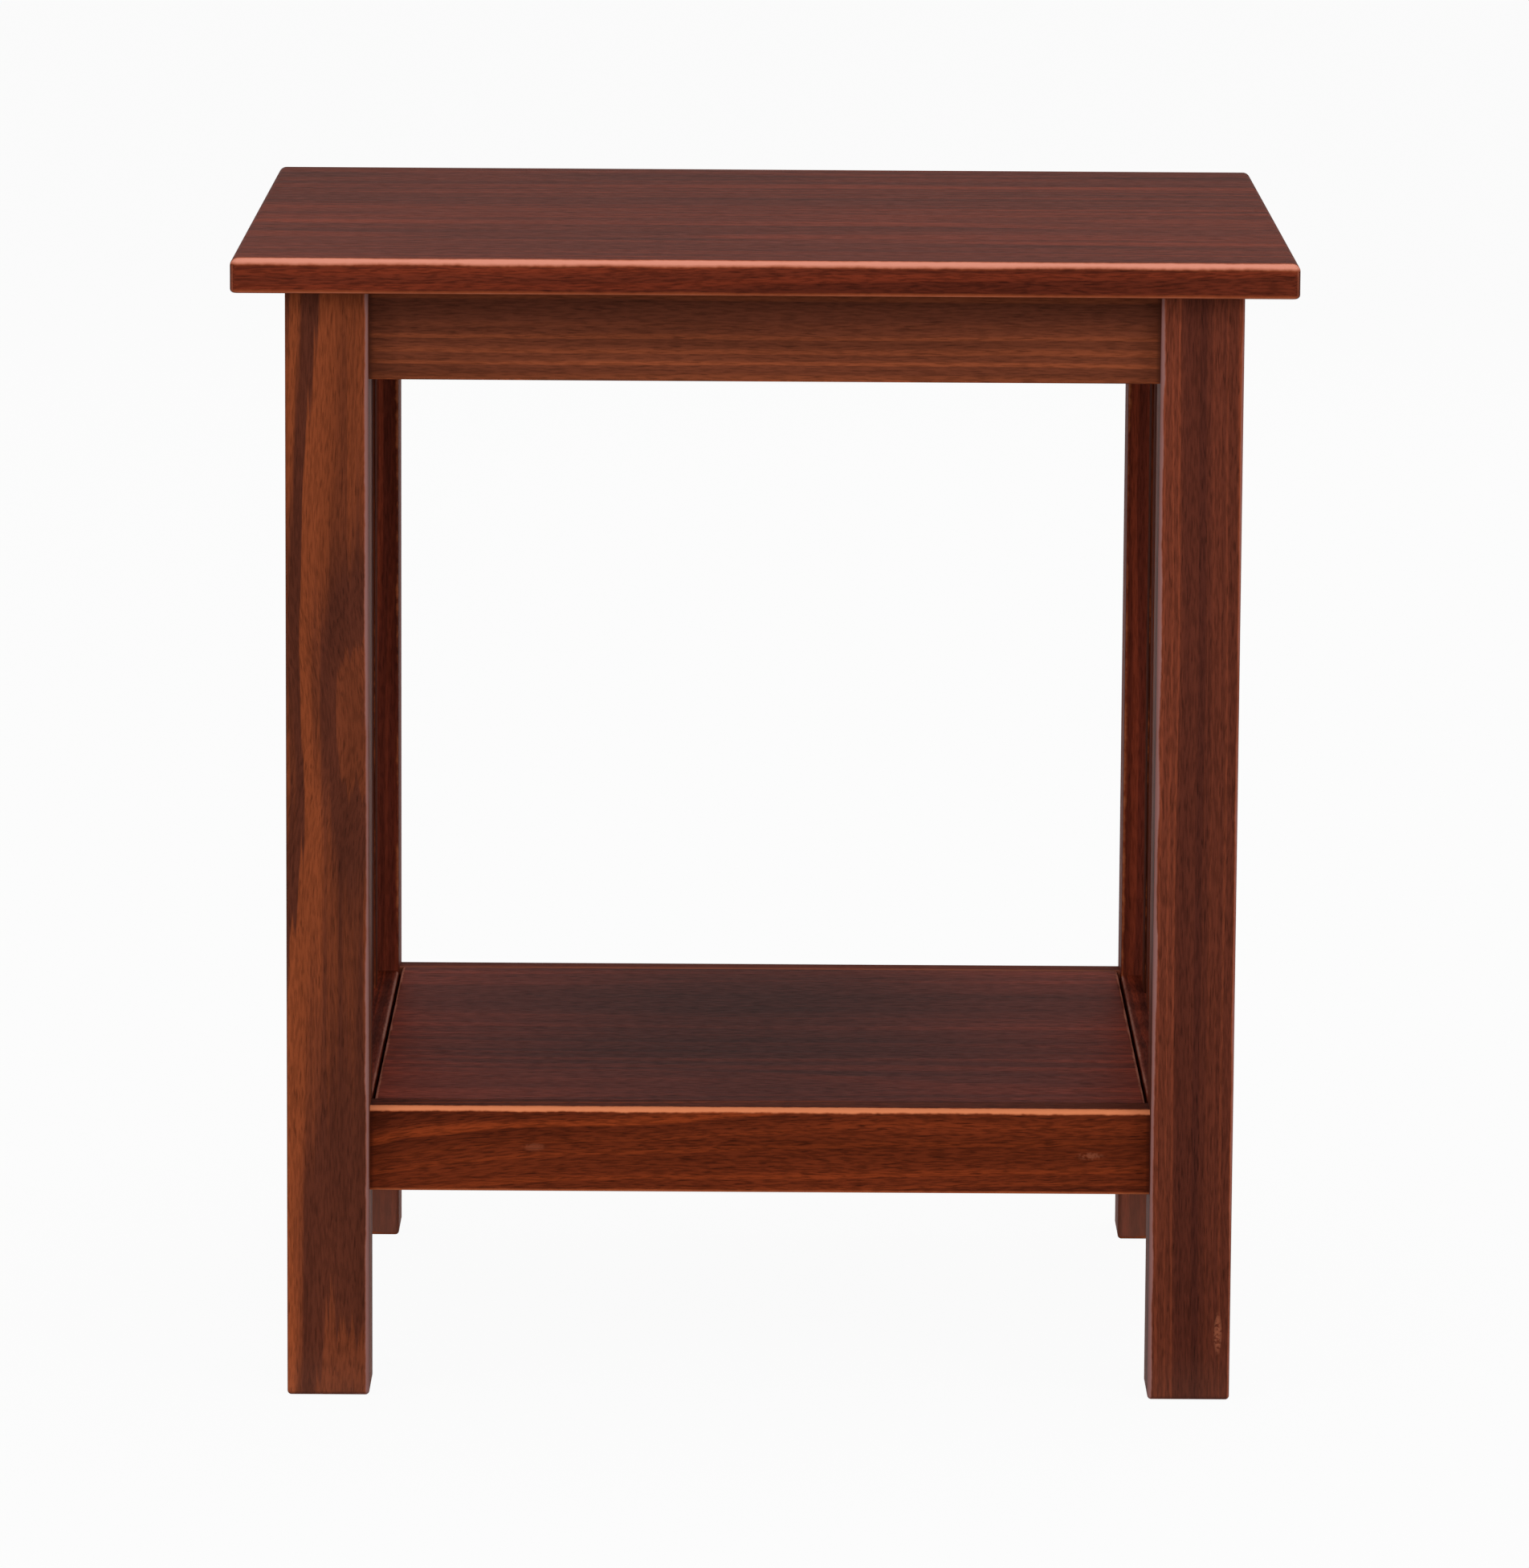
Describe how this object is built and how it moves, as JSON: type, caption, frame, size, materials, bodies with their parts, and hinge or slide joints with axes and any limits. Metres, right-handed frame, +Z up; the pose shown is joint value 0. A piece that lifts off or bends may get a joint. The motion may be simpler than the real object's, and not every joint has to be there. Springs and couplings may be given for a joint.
{
  "type": "end table",
  "caption": "Square-legged wooden end table with a boarded top, slatted sides and a low boarded shelf held by rails, in dark worn stain.",
  "frame": {"origin": "on the floor under the middle of the top", "axes": "+Z up, +Y from the front to the rear, +X to the right for a person facing the front; the slatted sides face -X and +X"},
  "size_m": [0.51, 0.457, 0.56],
  "materials": {
    "stained_pine": "dark red-brown stain under satin varnish, rubbed pale along the edges",
    "dowel_wood": "bare hardwood",
    "screw_steel": "zinc-plated"
  },
  "bodies": {
    "root": {"top_board_front": "stained_pine", "top_board_middle": "stained_pine", "top_board_rear": "stained_pine", "leg_front_left": "stained_pine", "leg_front_right": "stained_pine", "leg_rear_left": "stained_pine", "leg_rear_right": "stained_pine", "apron_front": "stained_pine", "apron_rear": "stained_pine", "shelf_rail_front": "stained_pine", "shelf_rail_rear": "stained_pine", "upper_side_rail_left": "stained_pine", "upper_side_rail_right": "stained_pine", "lower_side_rail_left": "stained_pine", "lower_side_rail_right": "stained_pine", "slat_left_1": "stained_pine", "slat_left_2": "stained_pine", "slat_left_3": "stained_pine", "slat_left_4": "stained_pine", "slat_left_5": "stained_pine", "slat_left_6": "stained_pine", "slat_right_1": "stained_pine", "slat_right_2": "stained_pine", "slat_right_3": "stained_pine", "slat_right_4": "stained_pine", "slat_right_5": "stained_pine", "slat_right_6": "stained_pine", "shelf_board_front": "stained_pine", "shelf_board_rear": "stained_pine", "shelf_cleat_left": "stained_pine", "shelf_cleat_right": "stained_pine", "top_cleat_front": "stained_pine", "top_cleat_rear": "stained_pine", "apron_front_dowels": "dowel_wood", "apron_rear_dowels": "dowel_wood", "shelf_rail_front_dowels": "dowel_wood", "shelf_rail_rear_dowels": "dowel_wood", "upper_side_rail_left_dowels": "dowel_wood", "upper_side_rail_right_dowels": "dowel_wood", "lower_side_rail_left_dowels": "dowel_wood", "lower_side_rail_right_dowels": "dowel_wood", "top_dowels": "dowel_wood", "shelf_dowels": "dowel_wood", "top_screws": "screw_steel", "apron_screws": "screw_steel", "shelf_screws": "screw_steel", "side_rail_screws": "screw_steel"}
  },
  "joints": []
}
